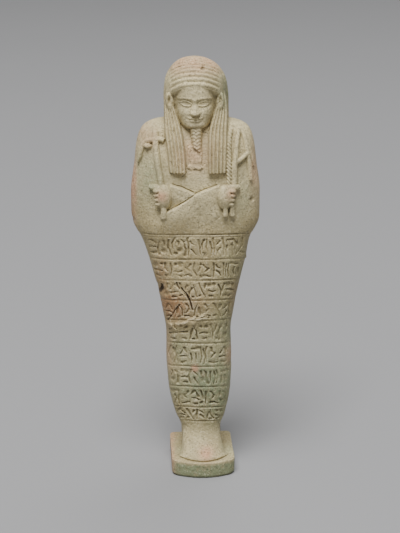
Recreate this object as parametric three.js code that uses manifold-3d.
// An Egyptian ushabti: a mummy-shaped servant figurine of moulded faience, in millimetres.
//
// The figure stands on its own low plinth, with a plain pillar up its back. It wears a long wig
// and a plaited beard, crosses its arms under a shroud, and holds a pick, a hoe and the cord of a
// seed bag that hangs behind its left shoulder. Ruled rows of cut strokes fill the front of the
// legs. All of it was pressed in a mould and fired as one piece, so it is one solid.
//
// +Z is up and the face looks along -Y. The origin is on the underside, at the plinth's centre.
import * as THREE from "three";
import { mergeVertices } from "three/addons/utils/BufferGeometryUtils.js";
import Module from "manifold-3d";

const wasm = await Module();
wasm.setup();

// ---------------------------------------------------------------- driving dimensions
const HEIGHT = 225;
const ELBOW_HALF_WIDTH = 33.6;
const SQUARENESS = 2.6; // exponent of the superellipse that the body's sections follow

// Levels above the underside.
const PLINTH_TOP = 9;
const ANKLE = 22;
const CALF = 62;
const KNEE = 78;
const WAIST = 131;
const ELBOW = 144;
const WRIST = 156.5;
const SHOULDER = 189;
const CHIN = 190.5;
const HAIRLINE = 212.5;
const LAPPET_END = 168.5;

// The plinth's plan. It is turned a little against the body, and the feet turn with it.
const PLINTH = { halfWidth: 17, front: 17.6, back: 19.8, bulge: 5.2, edge: 0.8, turn: 3 };
const PILLAR = { halfWidth: 8.5, back: 19.4, top: LAPPET_END + 1 };

// How far the figure bends to its right as it rises.
const LEAN = [
  [PLINTH_TOP, 0],
  [ANKLE, -1.1],
  [KNEE, -1.9],
  [118, -2.4],
  [WAIST + 4, -3.4],
  [SHOULDER, -3.4],
  [HEIGHT, -4],
];

// The shrouded body: level, half width, reach to the front and reach to the back.
const BODY = [
  [PLINTH_TOP - 1, 11.8, 10.2, 15],
  [ANKLE, 11.7, 10.8, 15],
  [30, 13.5, 12, 15],
  [40, 15.9, 13.4, 15],
  [50, 17.1, 14.4, 15],
  [CALF, 17.6, 15.2, 15.2],
  [KNEE, 17.3, 16, 15.2],
  [90, 18.9, 17, 15.4],
  [104, 21.6, 18, 15.8],
  [120, 25.6, 18.8, 16.2],
  [WAIST, 28.4, 19.2, 16.6],
  [137, 31.8, 19.4, 16.8],
  [ELBOW - 2, ELBOW_HALF_WIDTH, 19.4, 17],
  [156, ELBOW_HALF_WIDTH, 18.6, 17],
  [170, 31.8, 16.8, 16.6],
  [180, 30.6, 14.8, 16],
  [186, 29, 12.6, 15],
  [SHOULDER, 27, 11.2, 14],
  [191.4, 23, 9.4, 12.4],
  [193.2, 14, 6, 9],
];

// The wig round the head and down the back, in the same terms.
const WIG = [
  [163, 15.8, 2, 16.4],
  [167, 16.8, 4, 17.6],
  [180, 17.4, 5, 18],
  [193, 18, 6, 17.4],
  [204, 17.8, 7.6, 16.8],
  [210, 17.2, 9.4, 15.8],
  [214, 16.2, 10, 14.4],
  [218, 14.4, 9.6, 12.4],
  [221.4, 11.6, 8, 9.6],
  [223.8, 7.6, 5, 6],
  [HEIGHT - 0.4, 3.2, 2, 2.4],
];

// The banded crown of the wig: an egg-shaped dome over the brow, tipped back.
const CROWN = { level: 205.5, halfWidth: 16.6, front: 15.4, rise: HEIGHT - 205.5, bands: 8, ridge: 0.6 };
const CROWN_TIP = 34; // degrees that the bands rise towards the brow

// The face follows a plain canon: hairline to brow, brow to nose and nose to chin are equal.
const THIRD = (HAIRLINE - CHIN) / 3;
const BROW = HAIRLINE - THIRD;
const NOSE_BASE = BROW - THIRD;
const MOUTH = NOSE_BASE - THIRD / 3;
const EYE = BROW - THIRD * 0.25;
const FACE_HALF_WIDTH = 10.6;
const EYE_OFFSET = FACE_HALF_WIDTH * 0.43;

// Ruled rows: level at the front, and how steeply a ruling drops towards the sides.
const RULINGS = [136, 122.5, 111, 99.8, 88.4, 75.2, 61.8, 49.9, 37.6, 29];
const RULING_DROP = [0.15, 0.32];

// ---------------------------------------------------------------- curves
const clamp01 = (t) => Math.min(1, Math.max(0, t));
const smooth = (t) => clamp01(t) ** 2 * (3 - 2 * clamp01(t));
const mix = (a, b, t) => a + (b - a) * t;
const hill = (distance, width) => Math.exp(-((distance / width) ** 2));
const span = (count, from, to) =>
  Array.from({ length: count }, (_, i) => mix(from, to, i / (count - 1)));

// A column of a table as a smooth function of its first column, with no overshoot.
function curve(table, column = 1) {
  const at = table.map((row) => row[0]);
  const value = table.map((row) => row[column]);
  const slope = at.slice(1).map((a, i) => (value[i + 1] - value[i]) / (a - at[i]));
  const tangent = value.map((_, i) => {
    if (i === 0) return slope[0];
    if (i === slope.length) return slope[i - 1];
    const [before, after] = [slope[i - 1], slope[i]];
    return before * after <= 0 ? 0 : (2 * before * after) / (before + after);
  });
  return (x) => {
    if (x <= at[0]) return value[0];
    if (x >= at.at(-1)) return value.at(-1);
    const i = at.findIndex((a) => a > x) - 1;
    const h = at[i + 1] - at[i];
    const t = (x - at[i]) / h;
    const ends = value[i] * (1 + 2 * t) * (1 - t) ** 2 + value[i + 1] * t * t * (3 - 2 * t);
    return ends + h * t * (1 - t) * (tangent[i] * (1 - t) - tangent[i + 1] * t);
  };
}

const bodyWidth = curve(BODY, 1);
const bodyFront = curve(BODY, 2);
const bodyBack = curve(BODY, 3);
const leanAt = curve(LEAN);

// Depth of the shroud's front, seen from the front.
function shroud(x, z) {
  const across = clamp01(Math.abs(x) / bodyWidth(z));
  return -bodyFront(z) * (1 - across ** SQUARENESS) ** (1 / SQUARENESS);
}

// ---------------------------------------------------------------- solids
function fromGeometry(geometry) {
  const bare = geometry.clone().deleteAttribute("normal").deleteAttribute("uv");
  const merged = mergeVertices(bare, 1e-4);
  const mesh = new wasm.Mesh({
    numProp: 3,
    vertProperties: merged.attributes.position.array,
    triVerts: new Uint32Array(merged.index.array),
  });
  return new wasm.Manifold(mesh);
}

// A closed solid through rings of equally many points, each end closed by a fan.
function loft(rings) {
  const sides = rings[0].length;
  const middle = (ring) =>
    ring.reduce((sum, p) => sum.add(p), new THREE.Vector3()).divideScalar(sides);
  const points = [...rings.flat(), middle(rings[0]), middle(rings.at(-1))];
  const last = (rings.length - 1) * sides;
  const faces = [];
  for (let s = 0; s < sides; s++) {
    const next = (s + 1) % sides;
    for (let r = 0; r < last; r += sides) {
      faces.push([r + s, r + next, r + sides + next], [r + s, r + sides + next, r + sides + s]);
    }
    faces.push([points.length - 2, next, s], [points.length - 1, last + s, last + next]);
  }
  const wound = (order) =>
    fromGeometry(
      new THREE.BufferGeometry()
        .setFromPoints(points)
        .setIndex(faces.flatMap((f) => order.map((k) => f[k]))),
    );
  const made = wound([0, 1, 2]);
  return made.volume() > 0 ? made : wound([0, 2, 1]);
}

// A superellipse section at one level, with its own reach to the front and to the back.
function section(level, halfWidth, front, back, sides, squareness = SQUARENESS) {
  return span(sides + 1, 0, 2 * Math.PI)
    .slice(0, sides)
    .map((angle) => {
      const [c, s] = [Math.cos(angle), Math.sin(angle)];
      return new THREE.Vector3(
        halfWidth * Math.sign(c) * Math.abs(c) ** (2 / squareness),
        (s > 0 ? back : front) * Math.sign(s) * Math.abs(s) ** (2 / squareness),
        level,
      );
    });
}

function ball(x, y, z, radii, turn = 0, sides = 10) {
  const geometry = new THREE.SphereGeometry(1, sides, Math.ceil(sides / 2) + 1)
    .scale(...radii)
    .rotateY(THREE.MathUtils.degToRad(turn))
    .translate(x, y, z);
  return fromGeometry(geometry);
}

// Sweeps a profile of [across, outwards] steps through places of { point, out, scale }.
function sweep(places, profile) {
  return loft(
    places.map(({ point, out, scale = 1 }, i) => {
      const from = places[Math.max(0, i - 1)].point;
      const to = places[Math.min(places.length - 1, i + 1)].point;
      const across = to.clone().sub(from).cross(out).normalize();
      return profile.map(([side, rise]) =>
        point.clone().addScaledVector(across, side * scale).addScaledVector(out, rise * scale),
      );
    }),
  );
}

const union = (parts) => wasm.Manifold.union(parts);

const FORWARD = new THREE.Vector3(0, -1, 0);
const onFront = (path, surface) =>
  path.map(([x, z, scale]) => ({
    point: new THREE.Vector3(x, surface(x, z), z),
    out: FORWARD,
    scale,
  }));

// A raised bar with rounded shoulders. It is rooted under the surface.
const ROOT = -2.4;
function barProfile(width, proud) {
  const half = width / 2;
  return [
    [-half, ROOT],
    [half, ROOT],
    [half, proud * 0.5],
    [half * 0.5, proud],
    [-half * 0.5, proud],
    [-half, proud * 0.5],
  ];
}
const bar = (path, width, proud, surface = shroud) =>
  sweep(onFront(path, surface), barProfile(width, proud));

// A V-shaped groove, as the solid to cut away. Its open side stands clear of the surface.
const CLEAR = 0.7;
function groove(path, width, depth, surface = shroud) {
  const flare = (width / 2) * (1 + CLEAR / depth);
  const profile = [
    [-flare, CLEAR],
    [0, -depth],
    [flare, CLEAR],
  ];
  return sweep(onFront(path, surface), profile);
}

// ---------------------------------------------------------------- body, plinth and feet
function body() {
  const levels = BODY.flatMap(([low], i) => {
    const high = BODY[i + 1]?.[0] ?? low;
    return high - low > 12.5 ? [low, (low + high) / 2] : [low];
  });
  return loft(levels.map((z) => section(z, bodyWidth(z), bodyFront(z), bodyBack(z), 24)));
}

function plinth() {
  const { halfWidth, front, back, bulge, edge } = PLINTH;
  const corner = 2.4;
  const plan = new THREE.Shape();
  plan.moveTo(halfWidth - corner, back);
  plan.lineTo(-halfWidth + corner, back);
  plan.quadraticCurveTo(-halfWidth, back, -halfWidth, back - corner);
  plan.lineTo(-halfWidth, -front + corner);
  plan.quadraticCurveTo(-halfWidth, -front, -halfWidth + corner * 1.6, -front - bulge * 0.3);
  plan.quadraticCurveTo(0, -front - bulge * 1.75, halfWidth - corner * 1.6, -front - bulge * 0.3);
  plan.quadraticCurveTo(halfWidth, -front, halfWidth, -front + corner);
  plan.lineTo(halfWidth, back - corner);
  plan.quadraticCurveTo(halfWidth, back, halfWidth - corner, back);
  const geometry = new THREE.ExtrudeGeometry(plan, {
    depth: PLINTH_TOP - 2 * edge,
    bevelThickness: edge,
    bevelSize: edge,
    bevelOffset: -edge,
    bevelSegments: 1,
    curveSegments: 3,
  }).translate(0, 0, edge);
  return fromGeometry(geometry);
}

// The wrapped feet: arched sections that widen and sink towards the toes.
function feet() {
  const arches = [
    [-2, 10.6, 30],
    [-8, 11.4, 27],
    [-12, 12, 21.5],
    [-15.5, 12.8, 17],
    [-18.4, 13.1, 14.6],
    [-20, 12.4, 13.2],
    [-21, 11.2, 11.2],
  ];
  const bottom = PLINTH_TOP - 1;
  return loft(
    arches.map(([y, halfWidth, top]) => {
      const arch = span(13, -1, 1).map((u) => {
        const across = Math.sin((u * Math.PI) / 2);
        const rise = (1 - Math.abs(across) ** 3) ** 0.5;
        const forward = 1.6 * (1 - across ** 2) * smooth((-y - 8) / 10);
        return new THREE.Vector3(halfWidth * across, y - forward, mix(bottom, top, rise));
      });
      return [...arch, new THREE.Vector3(0, y, bottom - 0.3)];
    }),
  );
}

function pillar() {
  const depth = 8;
  const height = PILLAR.top - PLINTH_TOP + 1;
  const geometry = new THREE.BoxGeometry(PILLAR.halfWidth * 2, depth, height).translate(
    0,
    PILLAR.back - depth / 2,
    PLINTH_TOP - 1 + height / 2,
  );
  return fromGeometry(geometry);
}

// ---------------------------------------------------------------- head
const profileLine = curve([
  [CHIN - 1.6, 7],
  [CHIN - 0.4, 12.6],
  [CHIN + 1.4, 15.4],
  [MOUTH, 15.5],
  [NOSE_BASE, 15.6],
  [EYE, 15],
  [BROW + 0.6, 15.8],
  [HAIRLINE + 2, 15],
]);
const faceWidth = curve([
  [CHIN - 1.6, 3.4],
  [CHIN, 5.4],
  [CHIN + 2, 7.2],
  [MOUTH, 8.7],
  [NOSE_BASE, 9.7],
  [EYE, FACE_HALF_WIDTH],
  [HAIRLINE + 2, FACE_HALF_WIDTH - 0.6],
]);

// How far the features stand forward of the smooth mask of the face.
function features(x, z) {
  const side = Math.abs(x);
  const dx = side - EYE_OFFSET;
  const socket = -1.25 * hill(dx, 3.1) * hill(z - EYE - 0.1, 1.7);
  const eyeball = 0.95 * clamp01(1 - (dx / 2.7) ** 2 - ((z - EYE) / 1.15) ** 2) ** 0.5;
  const lid = 0.4 * hill(z - EYE - 1.25 * (1 - (dx / 3) ** 2), 0.42) * hill(dx, 2.9);
  const browArc = BROW + 0.8 - 0.045 * (side - 4.6) ** 2;
  const brow = 0.5 * hill(z - browArc, 0.6) * smooth((side - 0.8) / 1.4) * smooth((9.6 - side) / 2);
  const down = clamp01((BROW - z) / (BROW - NOSE_BASE - 0.8));
  const noseEnd = smooth((z - NOSE_BASE + 0.5) / 1);
  const bridge = (0.7 + 2.9 * down ** 1.5) * hill(x, 1.15 + 0.5 * down) * noseEnd;
  const wing = 1.15 * hill(side - 1.75, 0.8) * hill(z - NOSE_BASE - 0.9, 0.95) * noseEnd;
  const noseTop = smooth((BROW + 1.6 - z) / 2);
  const upperLip = 0.95 * hill(z - MOUTH - 0.62 + 0.03 * x * x, 0.6) * smooth((4 - side) / 2.2);
  const lowerLip = 0.95 * hill(z - MOUTH + 0.85 - 0.05 * x * x, 0.65) * smooth((3.5 - side) / 2.2);
  const philtrum = -0.25 * hill(x, 0.5) * hill(z - MOUTH - 2, 0.7);
  const corner = -0.45 * hill(side - 3.9, 0.7) * hill(z - MOUTH, 0.8);
  const chin = 0.8 * hill(x, 2.6) * hill(z - CHIN - 1.9, 1.3);
  const cheek = 0.5 * hill(side - 5.4, 2.6) * hill(z - NOSE_BASE - 1.8, 2.6);
  const nose = (bridge + wing) * noseTop;
  return socket + eyeball + lid + brow + nose + upperLip + lowerLip + philtrum + corner + chin + cheek;
}

function face() {
  const columns = 17;
  const levels = [
    ...span(4, CHIN - 1.6, MOUTH - 2),
    ...span(6, MOUTH - 1.2, NOSE_BASE + 0.4),
    ...span(9, NOSE_BASE + 1.3, HAIRLINE + 1.6),
  ];
  const root = 4;
  return loft(
    levels.map((z) => {
      const front = span(columns, -1, 1).map((u) => {
        const across = Math.sin((u * Math.PI) / 2.15) / Math.sin(Math.PI / 2.15);
        const x = faceWidth(z) * across;
        const mask = (1 - Math.abs(across) ** 2.8) ** 0.5;
        const reach = root + (profileLine(z) - root) * mask + features(x, z) * smooth(mask * 3);
        return new THREE.Vector3(x, -reach, z);
      });
      return [...front, new THREE.Vector3(5, 2, z), new THREE.Vector3(-5, 2, z)];
    }),
  );
}

// The neck and the sides of the head behind the face.
const HEAD_CORE = [
  [172, 8.4, 13.4],
  [184, 8.2, 11.4],
  [192, 9.6, 9.6],
  [200, FACE_HALF_WIDTH + 2.4, 10.4],
  [HAIRLINE + 1, FACE_HALF_WIDTH + 2.4, 13],
];
const headCore = () => loft(HEAD_CORE.map(([z, half, front]) => section(z, half, front, 2, 14, 2.4)));

// The crown: a dome of raised bands that rise towards the brow.
function crown() {
  const { level, halfWidth, front, rise, bands, ridge } = CROWN;
  const tip = THREE.MathUtils.degToRad(CROWN_TIP);
  const sides = 18;
  const rings = span(bands * 2 + 2, -0.12, 0.93).map((t, i) => {
    const polar = (t * Math.PI) / 2;
    const swell = i % 2 ? 0 : ridge * smooth((1 - t) * 2);
    return span(sides + 1, 0, 2 * Math.PI)
      .slice(0, sides)
      .map((angle) => {
        const flat = new THREE.Vector3(
          Math.cos(angle) * Math.cos(polar),
          Math.sin(angle) * Math.cos(polar),
          Math.sin(polar),
        ).applyAxisAngle(new THREE.Vector3(1, 0, 0), -tip);
        return new THREE.Vector3(
          flat.x * (halfWidth + swell),
          flat.y * ((flat.y > 0 ? 13.5 : front) + swell),
          level + flat.z * (rise + swell - ridge),
        );
      });
  });
  return loft(rings);
}

// The arch that frees the face under the crown.
function faceOpening() {
  const semiHeight = HAIRLINE - EYE + 3.2;
  const oval = section(0, FACE_HALF_WIDTH + 2.2, semiHeight, semiHeight, 24, 3);
  const place = (y) => oval.map((p) => new THREE.Vector3(p.x, y, EYE - 3.2 + p.y));
  return loft([place(-3), place(-30)]);
}

// The wig's long hair: every other side of a section is a lock's crest, the next a parting.
function hair() {
  const [width, front, back] = [1, 2, 3].map((column) => curve(WIG, column));
  const sides = 36;
  return loft(
    WIG.map(([z]) =>
      section(z, width(z), front(z), back(z), sides, 2.3).map((p, i) => {
        const parting = i % 2 ? 0.35 * smooth((HEIGHT - z) / 8) : 0;
        return p.multiply(new THREE.Vector3(1 - parting / 17, 1 - parting / 17, 1));
      }),
    ),
  );
}

// The two lappets of the wig over the chest: level, inner edge, outer edge, front, shift.
const LAPPET = [
  [LAPPET_END, 5.7, 14.9, 18.9, 1],
  [175, 5.8, 15.5, 18.1, 0.8],
  [183, 6.2, 16.5, 16.4, 0.4],
  [190, 7.2, 17.5, 13.8, 0],
  [197, 9.4, 17.8, 10.8, 0],
  [204, 11.4, 17.6, 9, 0],
  [210, 12, 16.8, 8, 0],
];
function lappet(side) {
  const locks = 6;
  return loft(
    LAPPET.map(([z, inner, outer, front, shift]) => {
      const scalloped = span(locks * 2 + 1, 0, 1).map((u, i) => {
        const turnBack = 2.6 * u ** 3;
        return new THREE.Vector3(mix(inner, outer, u), turnBack - front + (i % 2 ? 0 : 0.55), z);
      });
      const root = [outer - 0.6, inner + 0.4].map((x) => new THREE.Vector3(x, -4, z));
      return [...scalloped, ...root].map((p) => p.setX(side * p.x + shift));
    }),
  );
}

function ear(side) {
  const [x, y, z] = [12.6, -9, (BROW + NOSE_BASE) / 2 + 0.6];
  const shell = ball(side * x, y, z, [2, 2.2, 4.9], side * 8, 10);
  const hollow = ball(side * (x + 0.1), y - 2.4, z + 0.9, [0.95, 1.2, 2.8], side * 8, 8);
  return shell.subtract(hollow);
}

// The plaited beard. Its end is broken off on a slant.
function beard() {
  const [top, end] = [CHIN + 1.2, 178];
  const plaits = 6;
  const rings = span(plaits * 2 + 1, top, end).map((z, i) => {
    const t = (top - z) / (top - end);
    const swell = i % 2 ? 0.3 : 0;
    const half = mix(3, 2.4, t) + swell;
    const front = mix(14.6, 16.6, t) + swell;
    return section(z, half, front, -9, 10, 2.2).map((p) => p.setX(p.x + mix(-0.3, 0.4, t)));
  });
  const breakCut = new THREE.BoxGeometry(14, 14, 8)
    .rotateY(THREE.MathUtils.degToRad(38))
    .translate(-3.4, -17, 176);
  return loft(rings).subtract(fromGeometry(breakCut));
}

// What is left on the chest where the beard's curled end broke away.
const beardScar = () =>
  bar([[0.4, 181, 0.7], [0.2, 176, 1], [-0.2, 170.4, 0.85]], 7.4, 0.9);

// ---------------------------------------------------------------- arms, hands and what they hold
// Each forearm's path runs from its elbow to its wrist. The right one lies over the left one.
const LEFT_FOREARM = [[4, 151.2, 0.9], [-4, 153.8, 1], [-13.4, 157, 0.92]];
const RIGHT_FOREARM = [
  [-26.4, 137.4, 0.5],
  [-21, 139.4, 1.1],
  [-10, 144.2, 1.25],
  [2, 151, 1.1],
  [13, 157.8, 0.95],
];

// A sleeve has a firm upper edge, and below it fades into the shroud.
function sleeve(path, proud) {
  const profile = [
    [-5.3, ROOT],
    [8, ROOT],
    [6.5, -0.4],
    [4, proud * 0.55],
    [0.5, proud],
    [-3, proud * 0.95],
    [-4.7, proud * 0.65],
    [-5.3, proud * 0.15],
  ];
  return sweep(onFront(path, shroud), profile);
}
const forearms = () => union([sleeve(LEFT_FOREARM, 1.5), sleeve(RIGHT_FOREARM, 2.4)]);

const FIST = { offset: 16.4, radii: [4.5, 3.9, 6.9], fingers: 4, pitch: 2.6 };
function fist(side) {
  const x = side * FIST.offset;
  const back = shroud(x, WRIST) - 2.2;
  const palm = ball(x, back + 1.7, WRIST, FIST.radii, 0, 10);
  const onBack = () => back;
  const fingers = Array.from({ length: FIST.fingers }, (_, i) => {
    const z = WRIST + (i - 1.7) * FIST.pitch;
    return bar([[x + side, z], [x + side * 4, z], [x + side * 5.6, z - 0.4, 0.7]], 2.2, 1.5, onBack);
  });
  const root = WRIST + 3.6;
  const thumb = bar([[x + side * 2, root], [x + side * 9, root + 2.6, 0.8]], 2.6, 1.2, onBack);
  return union([palm, ...fingers, thumb]);
}

// The end of a handle that shows below a fist.
const butt = (x, z, proud) => ball(x, shroud(x, z) - proud, z, [2.3, 1.8, 1.6], 0, 6);

function pick() {
  const handle = bar([[-16.6, 148], [-18.2, 163], [-19.6, 175], [-20.6, 188.5]], 2.9, 1.9);
  const head = bar(
    [[-15.4, 184, 0.9], [-20.4, 183.8], [-25, 181.8, 0.95], [-28, 178, 0.9], [-29.4, 172.5, 0.7]],
    2.7,
    1.7,
  );
  return union([handle, head, butt(-16.5, 146, 2.2)]);
}

function hoe() {
  const handle = bar([[19.8, 146], [20.4, 163], [21.2, 175], [22.4, 188.8]], 2.6, 1.8);
  const blade = bar([[22.8, 189], [24.8, 186], [26.7, 179], [28.2, 171], [29.3, 163.4]], 1.8, 1.7);
  const tie = bar([[21.4, 173.3], [27, 177.8]], 1.7, 1.4);
  return union([handle, blade, tie, butt(17.6, 147.6, 0.8), butt(22.6, 146, 0.6)]);
}

// The seed bag's cord runs up from the hand, over the left shoulder and down to the bag.
const BAG = { x: 18, top: 178, height: 17, halfWidth: 6.4, thickness: 3.4 };
function seedBag() {
  const place = (x, y, z, outY, outZ) => ({
    point: new THREE.Vector3(x, y, z),
    out: new THREE.Vector3(0, outY, outZ).normalize(),
  });
  const shoulderTop = 191.2;
  const cord = sweep(
    [
      ...[163, 172, 181, 186].map((z) => place(17.6, shroud(17.6, z), z, -1, 0)),
      place(18.6, -7.4, 189.8, -0.7, 0.7),
      place(19, 0, shoulderTop, 0, 1),
      place(19, 8, 189.6, 0.6, 0.8),
      place(18.6, 13, 184, 1, 0.3),
      place(18.2, 14.6, BAG.top, 1, 0),
    ],
    barProfile(2, 1.3),
  );
  const bag = [0, 0.2, 0.75, 1].map((t, i) => {
    const half = BAG.halfWidth * [0.55, 0.8, 1, 0.7][i];
    const swell = BAG.thickness * [0.5, 0.9, 1, 0.4][i];
    const [x, z] = [BAG.x, BAG.top - BAG.height * t];
    return section(z, half, 4, bodyBack(z) - 3 + swell, 10, 2.4).map((p) => p.setX(p.x + x));
  });
  return union([cord, loft(bag)]);
}

// ---------------------------------------------------------------- cuts
// A ruling drops a little as it turns to the sides.
const rulingDrop = curve([
  [RULINGS.at(-1), RULING_DROP[1]],
  [RULINGS[0], RULING_DROP[0]],
]);
const onRow = (x, z) => [x, z - rulingDrop(z) * (bodyFront(z) + shroud(x, z))];

function rulings() {
  return RULINGS.map((z) =>
    groove(
      span(7, -1, 1).map((u) => onRow(Math.sin(u * 1.2) * bodyWidth(z), z)),
      0.9,
      0.5,
    ),
  );
}

// Rows of strokes that stand for an inscription: they are marks of a few slants and no letters.
function strokes() {
  const slants = [0, 90, 62, 0, 90, 118, 90, 0, 55, 90];
  const cuts = [];
  for (let row = 0; row + 1 < RULINGS.length; row++) {
    const [top, bottom] = [RULINGS[row], RULINGS[row + 1]];
    const middle = (top + bottom) / 2;
    const height = (top - bottom) * 0.62;
    const reach = bodyWidth(middle) * 0.84;
    const count = Math.round(reach / 3.3);
    for (let i = 0; i < count; i++) {
      const k = (i * 7 + row * 3) % slants.length;
      const slant = THREE.MathUtils.degToRad(slants[k]);
      const half = Math.min(height / 2, slants[k] === 0 ? 1.7 : height / 2);
      const x = mix(-reach, reach, (i + 0.5) / count);
      const z = middle + (slants[k] === 0 ? (((i + row) % 3) - 1) * height * 0.3 : 0);
      const [dx, dz] = [Math.cos(slant) * half, Math.sin(slant) * half];
      cuts.push(groove([onRow(x - dx, z - dz), onRow(x + dx, z + dz)], 0.95, 0.5));
    }
  }
  return cuts;
}

// Cracks, and the seam where the legs were once broken across and mended.
function cracks() {
  return [
    groove([[-11, 108.6, 0.5], [-7.4, 103.6, 1], [-4.6, 97.6, 1], [-2.8, 94.6, 0.5]], 1.1, 0.9),
    groove([[-16.4, 85.6, 1], [-7, 89.6, 1], [-0.4, 92.4, 0.9], [4, 94.6, 0.5]], 1.3, 0.7),
    groove([[-10, 95.6, 0.6], [-15.6, 87, 1]], 0.9, 0.6),
  ];
}

// ---------------------------------------------------------------- the whole figure
// The solid as a flat-shaded geometry, leaning to the figure's right as it rises.
function leaning(solid) {
  const mesh = solid.getMesh();
  const points = [];
  for (let i = 0; i < mesh.numVert; i++) {
    const [x, y, z] = mesh.vertProperties.subarray(i * mesh.numProp, i * mesh.numProp + 3);
    points.push(new THREE.Vector3(x + leanAt(z), y, z));
  }
  const geometry = new THREE.BufferGeometry().setFromPoints(points);
  return geometry.setIndex(Array.from(mesh.triVerts)).toNonIndexed();
}

const masses = [
  body(),
  union([plinth(), feet()]).rotate([0, 0, PLINTH.turn]),
  pillar(),
  hair().add(crown()).subtract(faceOpening()),
  headCore(),
  face(),
  beard(),
  beardScar(),
  forearms(),
  pick(),
  hoe(),
  seedBag(),
  ...[-1, 1].flatMap((side) => [lappet(side), ear(side), fist(side)]),
];
const cuts = [...rulings(), ...strokes(), ...cracks()];
const carved = union(masses).subtract(union(cuts)).decompose();
const figurine = new THREE.Mesh(
  leaning(carved.reduce((most, piece) => (piece.volume() > most.volume() ? piece : most))),
  new THREE.MeshStandardMaterial({ color: 0xb5ae8f, roughness: 0.6, metalness: 0 }),
);
figurine.name = "figurine";
figurine.geometry.computeVertexNormals();

const ushabti = new THREE.Group();
ushabti.name = "ushabti";
ushabti.add(figurine);
export default ushabti;
